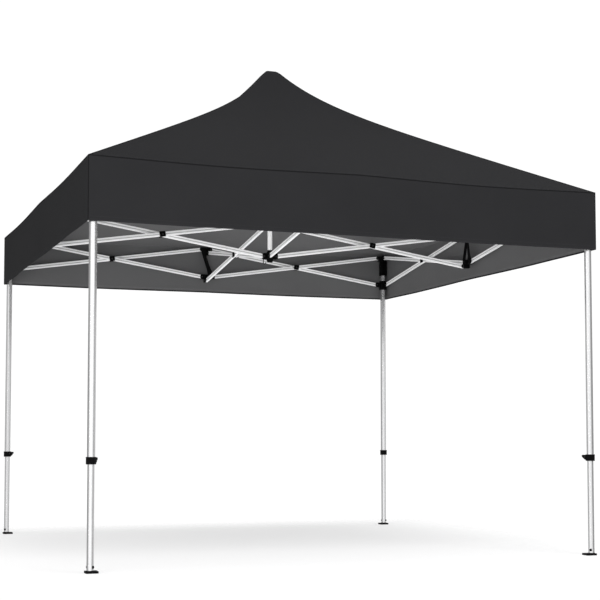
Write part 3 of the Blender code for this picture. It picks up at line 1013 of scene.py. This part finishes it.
def creases(x, y):
    """Shallow tension folds that run from the corners and from the peak."""
    height = 0.0
    for side in (-1, 1):
        dx, dy = x - side * CANOPY_HALF, y + CANOPY_HALF
        far = math.hypot(dx, dy)
        fan = math.sin(math.atan2(dy, dx) * 22 + side)
        height += 0.0012 * fan * math.exp(-far / 0.45) * min(1.0, far / 0.12)
    far = math.hypot(x, y)
    height += 0.0016 * math.sin(math.atan2(y, x) * 20) * math.exp(-far / 0.35) * min(1.0, far / 0.1)
    return height + 0.0012 * math.sin(x * 5.1 + y * 1.7) * math.sin(y * 3.3 - x * 0.8)


def roof_point(across, out):
    """A point of the front face: across is -1 to 1 between its ridges."""
    x, y = across * out, -out
    share = max(0.0, min(1.0, eave_share(out)))
    inside = 1 - across * across
    sag = inside * 0.012 * math.sin(math.pi * share) + eave_drop(x) * share ** 8
    fold = creases(x, y) * min(1.0, inside * 3) * min(1.0, (1 - share) * 12) * min(1.0, share * 10)
    return Vector((x, y, ridge_height(out) - sag + fold))


def cloth_grid(columns, rows, place, flat, facing):
    """A sheet of cells shaped by place(u, v), with its flat pattern in the cloth UV map."""
    bpy.ops.object.select_all(action="DESELECT")
    bpy.ops.mesh.primitive_grid_add(x_subdivisions=columns, y_subdivisions=rows, size=1,
                                    location=(0.5, 0.5, 0))
    sheet = place_mesh(bpy.context.object)
    spots = [(min(max(v.co.x, 0.0), 1.0), min(max(v.co.y, 0.0), 1.0)) for v in sheet.data.vertices]
    for vertex, (u, v) in zip(sheet.data.vertices, spots):
        vertex.co = place(u, v)
    while sheet.data.uv_layers:
        sheet.data.uv_layers.remove(sheet.data.uv_layers[0])
    layer = sheet.data.uv_layers.new(name="cloth")
    for loop in sheet.data.loops:
        layer.data[loop.index].uv = flat(*spots[loop.vertex_index])
    sheet.data.update()
    if sum((f.normal * f.area for f in sheet.data.polygons), Vector()).dot(Vector(facing)) < 0:
        sheet.data.flip_normals()
    return sheet


def thicken(piece, thickness, offset=-1.0, **settings):
    return apply_modifier(piece, "SOLIDIFY", thickness=thickness, offset=offset, use_even_offset=True,
                          material_offset=1, material_offset_rim=0, **settings)


def sew(cells, place, flat, facing=(0, 0, 1), coats=("fabric_outside", "fabric_inside"),
        thickness=None, angle=40):
    """A finished sheet with an outer and an inner coat, and the area of cloth in it."""
    sheet = coat(cloth_grid(*cells, place, flat, facing), *coats)
    area = sum(face.area for face in sheet.data.polygons)
    return smooth(thicken(sheet, thickness or sizes().fabric), angle), area


def roof_cloth(spot):
    """The place of a point of the front face on the flat cloth."""
    return spot.x, math.hypot(spot.y, spot.z - PEAK_Z)


def gather_to_mast(piece):
    """Gives a piece of the roof a mesh of its own."""
    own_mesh(piece)


def gather_along_sides(pieces):
    """Gives each of the four sides' pieces a mesh of its own."""
    for quarter, piece in enumerate(pieces):
        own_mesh(piece)
    return pieces


class GAZEBO_OT_roof(Operator):
    """The four faces of the roof, in gores, and the peak"""
    bl_idname = "gazebo.roof"
    bl_label = "Roof"

    def execute(self, context):
        ridges = self.ridge_seams()
        self.border()
        count = sizes().gores
        edges = [2 * i / count - 1 for i in range(count + 1)]
        edges = [math.copysign(1 - (1 - abs(e)) ** 1.6, e) for e in edges]
        for index, (left, right) in enumerate(zip(edges, edges[1:])):
            gore, eave, flat, area = self.gore(left, right)
            made = around(gore, SIDES, f"roof_{{}}_gore_{index + 1}", "mast", "canopy", "fabric")
            for quarter, piece in enumerate(made):
                gather_to_mast(piece)
        self.peak()
        return {"FINISHED"}

    def gore(self, left, right):
        """A strip of the front face, an eave point of it, its flat size and area."""
        reach = CANOPY_HALF - BORDER - GORE_START

        def place(u, v):
            return roof_point(left + (right - left) * u, GORE_START + reach * v ** 1.5)

        strip, area = sew((4, 36), place, lambda u, v: roof_cloth(place(u, v)))
        length = (place(0.5, 1) - place(0.5, 0)).length
        width = max((right - left) * (CANOPY_HALF - BORDER), area / length * 1.01)
        eave = place(0.5 + 0.25 * math.copysign(max(abs(left), abs(right)) ** 8, left + right), 1)
        return strip, eave, (width, length * 1.02), area

    def border(self):
        """The roof's edge along one side, which lies over the bracket and the leg heads."""
        def place(u, v):
            return roof_point(2 * u - 1, CANOPY_HALF - BORDER * v)

        edge, area = sew((96, 4), place, lambda u, v: roof_cloth(place(u, v)))
        made = around(edge, SIDES, "roof_edge_{}", "{}_upper", "canopy", "fabric")
        for side, piece in zip(SIDES, gather_along_sides(made)):
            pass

    def ridge_seams(self):
        """A flat felled seam down each ridge."""
        def place(u, v):
            out = SEAM_START + (CANOPY_HALF - SEAM_START) * v ** 1.4
            side = (u - 0.5) * 2
            return Vector((SEAM_HALF * max(side, 0.0) - out, SEAM_HALF * max(-side, 0.0) - out,
                           ridge_height(out) + 0.0012 - 0.0004 * abs(side)))

        seam = sew((4, 60), place, lambda u, v: (u * 2 * SEAM_HALF, v * SEAM_LENGTH),
                   thickness=0.0011, angle=60)[0]
        made = around(seam, CORNERS, "ridge_seam_{}", "mast", None, "fabric")
        for quarter, piece in enumerate(made):
            gather_to_mast(piece)
        return made

    def peak(self):
        """A small doubled patch over the mast's cap, rounded at its edge."""
        def place(u, v):
            x, y = (2 * u - 1) * PATCH_HALF, (2 * v - 1) * PATCH_HALF
            out = max(abs(x), abs(y))
            edge = (abs(x) ** 6 + abs(y) ** 6) ** (1 / 6)
            if out <= PEAK_HALF:
                return Vector((x, y, PEAK_Z + 0.0008 - 0.0035 * (edge / PEAK_HALF) ** 4))
            return Vector((x, y, ridge_height(out) + 0.0008 - 0.0035 * (PEAK_HALF / out) ** 4))

        wide = 2 * PATCH_HALF
        patch, area = sew((18, 18), place, lambda u, v: (u * wide, v * wide), angle=50)
        settle(patch, "roof_peak", "mast", "canopy", "fabric")


class GAZEBO_OT_valance(Operator):
    """The straight skirt below the eave, with its hem and its seams"""
    bl_idname = "gazebo.valance"
    bl_label = "Valance"

    def execute(self, context):
        made = around(self.skirt(), SIDES, "valance_{}", "{}_upper", "canopy", "fabric")
        gather_along_sides(made)
        eaves, corners = self.eave_seam(), self.corner_seams()
        for side, piece, eave, corner in zip(SIDES, made, eaves, corners):
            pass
        return {"FINISHED"}

    def skirt(self):
        """One side's skirt, doubled at its hem, with slight waves toward its free edge."""
        hem, half, tall = sizes().hem, CANOPY_HALF, EAVE_Z - VALANCE_BOTTOM

        def up(v):
            """Rows close together at the hem and evenly spread above it."""
            return v * 4 * hem if v < 0.25 else hem + (v - 0.25) / 0.75 * (tall - hem)

        def place(u, v):
            x = (2 * u - 1) * half
            free = 1 - up(v) / tall
            ends = min(1.0, (half - abs(x)) / 0.12)
            wave = 0.0030 * math.sin(x * 4.2 + 0.6)
            wave += 0.0016 * math.sin(x * 11.3) * math.exp(-abs(free - 0.6))
            drop = eave_drop(x) * (1 - free * 0.75)
            return Vector((x, -half + wave * free * ends * 0.9, VALANCE_BOTTOM + up(v) - drop))

        skirt = cloth_grid(120, 22, place, lambda u, v: ((2 * u - 1) * half, up(v)), (0, -1, 0))
        group = skirt.vertex_groups.new(name="hem")
        doubled = [v.index for v in skirt.data.vertices if v.co.z < VALANCE_BOTTOM + hem + 0.0005]
        group.add(doubled, 1.0, "REPLACE")
        coat(skirt, "fabric_outside", "fabric_inside")
        thicken(skirt, sizes().fabric * 2.2, -0.5, vertex_group="hem", thickness_vertex_group=0.45)
        skirt.vertex_groups.clear()
        cloth = skirt.data.uv_layers["cloth"].data
        for face in skirt.data.polygons:
            if sum(cloth[i].uv.y for i in face.loop_indices) / face.loop_total < 0.011:
                face.material_index = 0
        return smooth(skirt)

    def eave_seam(self):
        """The narrow binding where the roof and the valance are sewn together, darker than the fabric,
        which also paints the shade in that fold.
        """
        def place(u, v):
            x = (2 * u - 1) * (CANOPY_HALF + 0.0010)
            y = -CANOPY_HALF - 0.0003 - 0.0014 * math.sin(math.pi * v)
            return Vector((x, y, EAVE_Z - 0.002 - eave_drop(x) + (v - 0.5) * BINDING))

        seam = sew((90, 6), place, lambda u, v: ((2 * u - 1) * CANOPY_HALF, v * BINDING), (0, -1, 0),
                   ("fabric_binding", "fabric_binding"), 0.0008, 60)[0]
        return gather_along_sides(around(seam, SIDES, "eave_seam_{}", "{}_upper", None, "fabric"))

    def corner_seams(self):
        """The upright seam where two valances meet at a corner."""
        seam = add_box((-0.0022, -0.0022, VALANCE_BOTTOM + 0.001), (0.0022, 0.0022, EAVE_Z + 0.001))
        bevel_edges(seam, edges_along("Z"), 0.0016)
        turned(seam, Matrix.Translation((-CANOPY_HALF + 0.0004, -CANOPY_HALF + 0.0004, 0)))
        seam.data.uv_layers[0].name = "cloth"
        coat(smooth(seam), "fabric_binding")
        return around(seam, CORNERS, "corner_seam_{}", "leg_{}", None, "fabric")


def webbing_strip(route, thickness, across):
    """A flat strap along a route at the front side, wide across the given direction."""
    points = [Vector((x, inward - LEG_HALF, z)) for x, inward, z, width in route]
    widths = [width for x, inward, z, width in route]
    lengths = [0.0]
    for a, b in zip(points, points[1:]):
        lengths.append(lengths[-1] + (b - a).length)

    def place(u, v):
        want = v * lengths[-1]
        step = next(i for i, end in enumerate(lengths[1:]) if want <= end)
        part = (want - lengths[step]) / (lengths[step + 1] - lengths[step])
        width = widths[step] + (widths[step + 1] - widths[step]) * part
        return points[step].lerp(points[step + 1], part) + Vector(across) * (u - 0.5) * width

    strip = cloth_grid(3, 24, place, lambda u, v: (u * 0.025, v * lengths[-1]), (0, -1, 0))
    coat(strip, "black_webbing", "black_webbing")
    return smooth(thicken(strip, thickness, 0), 50)


class GAZEBO_OT_straps(Operator):
    """Black webbing straps between the upper and lower middle brackets"""
    bl_idname = "gazebo.straps"
    bl_label = "Straps"

    def execute(self, context):
        broad = webbing_strip(BROAD_STRAP, 0.0026, (1, 0, 0))
        edgewise = webbing_strip(EDGEWISE_STRAP, 0.0022, (0, 1, 0))
        around(join([broad, edgewise]), SIDES, "strap_{}", "{}_upper")
        return {"FINISHED"}


# Stage.

class GAZEBO_OT_stage(Operator):
    """Pale floor, soft studio light and the camera"""
    bl_idname = "gazebo.stage"
    bl_label = "Stage"

    def execute(self, context):
        scene = context.scene
        bpy.ops.object.select_all(action="DESELECT")
        bpy.ops.mesh.primitive_circle_add(vertices=96, radius=6.2, fill_type="NGON",
                                          location=(0, 0, -0.0005))
        floor = coat(place_mesh(context.object), "studio_floor")
        floor.name = "studio_floor"
        self.world(scene)
        self.lamp("key_light", (2.0, -5.6, 6.6), (0, 0, 0.8), 285)
        self.lamp("fill_light", (-5.0, -6.4, 0.9), (0, 0, 1.9), 300)
        camera = bpy.data.objects.new("camera", bpy.data.cameras.new("camera"))
        scene.collection.objects.link(camera)
        camera.location = CAMERA_PLACE
        camera.rotation_euler = CAMERA_TURN
        camera.data.lens = CAMERA_LENS
        camera.data.sensor_width = 36.0
        camera.data.shift_y = CAMERA_SHIFT
        scene.camera = camera
        scene.view_settings.view_transform = "Standard"
        return {"FINISHED"}

    def world(self, scene):
        """White to the camera, and a softer room with a dark side for reflections."""
        scene.world = bpy.data.worlds.new("studio")
        n = Nodes(scene.world)
        n.tree.nodes.clear()
        split = n.add("SeparateXYZ", {"Vector": n.add("TexCoord").outputs["Generated"]}).outputs
        compass = n.math("ARCTAN2", split["Y"], split["X"])
        turn = n.spread(compass, {"From Min": -math.pi, "From Max": math.pi})
        stops = [((at + 180) / 360, (light, light, light * 1.005)) for at, light in ROOM_LIGHT]
        height = n.spread(split["Z"], {"To Min": 1.1, "To Max": 1.9})
        room = n.value("Background", {"Color": n.ramp(turn, stops), "Strength": height})
        rays = n.add("LightPath").outputs
        bounce = n.spread(rays["Is Diffuse Ray"], {"To Min": 0.65, "To Max": 1.60})
        ground = n.value("Background", {"Color": WHITE, "Strength": bounce})
        depth = n.spread(split["Z"], {"From Min": -0.10, "From Max": -0.35})
        around_it = n.value("MixShader", {0: depth, 1: room, 2: ground})
        white = n.value("Background", {"Color": WHITE, "Strength": 1.05})
        seen = n.value("MixShader", {0: rays["Is Camera Ray"], 1: around_it, 2: white})
        n.add("OutputWorld", {"Surface": seen})

    def lamp(self, name, place, aim, power):
        """A square soft box, 3 m wide, which the tubes don't mirror."""
        data = bpy.data.lights.new(name, "AREA")
        data.energy = power
        data.size = 3.0
        lamp = bpy.data.objects.new(name, data)
        bpy.context.scene.collection.objects.link(lamp)
        lamp.visible_glossy = False
        lamp.location = place
        lamp.rotation_euler = (Vector(aim) - Vector(place)).to_track_quat("-Z", "Y").to_euler()


OPERATORS = (
    GAZEBO_OT_stage, GAZEBO_OT_leg_tubes, GAZEBO_OT_truss_bars, GAZEBO_OT_middle_blocks,
    GAZEBO_OT_leg_heads, GAZEBO_OT_sliders, GAZEBO_OT_clamps, GAZEBO_OT_feet, GAZEBO_OT_side_brackets,
    GAZEBO_OT_hubs, GAZEBO_OT_mast, GAZEBO_OT_roof, GAZEBO_OT_valance, GAZEBO_OT_straps,
)


class GAZEBO_PT_panel(Panel):
    """Sizes, colours and the pieces in the order that they are built"""
    bl_idname = "GAZEBO_PT_panel"
    bl_label = "Party Gazebo"
    bl_space_type = "VIEW_3D"
    bl_region_type = "UI"
    bl_category = "Gazebo"

    def draw(self, context):
        layout = self.layout
        for group in (context.scene.gazebo_sizes, context.scene.gazebo_colours):
            box = layout.box()
            for name in group.__annotations__:
                box.prop(group, name)
        for operator in OPERATORS:
            layout.operator(operator.bl_idname)


CLASSES = (GazeboSizes, GazeboColours, *OPERATORS, GAZEBO_PT_panel)


def register():
    for cls in CLASSES:
        bpy.utils.register_class(cls)
    bpy.types.Scene.gazebo_sizes = PointerProperty(type=GazeboSizes)
    bpy.types.Scene.gazebo_colours = PointerProperty(type=GazeboColours)


def unregister():
    del bpy.types.Scene.gazebo_colours
    del bpy.types.Scene.gazebo_sizes
    for cls in reversed(CLASSES):
        bpy.utils.unregister_class(cls)


def main():
    register()
    for operator in OPERATORS:
        family, name = operator.bl_idname.split(".")
        getattr(getattr(bpy.ops, family), name)()


if __name__ == "__main__":
    main()
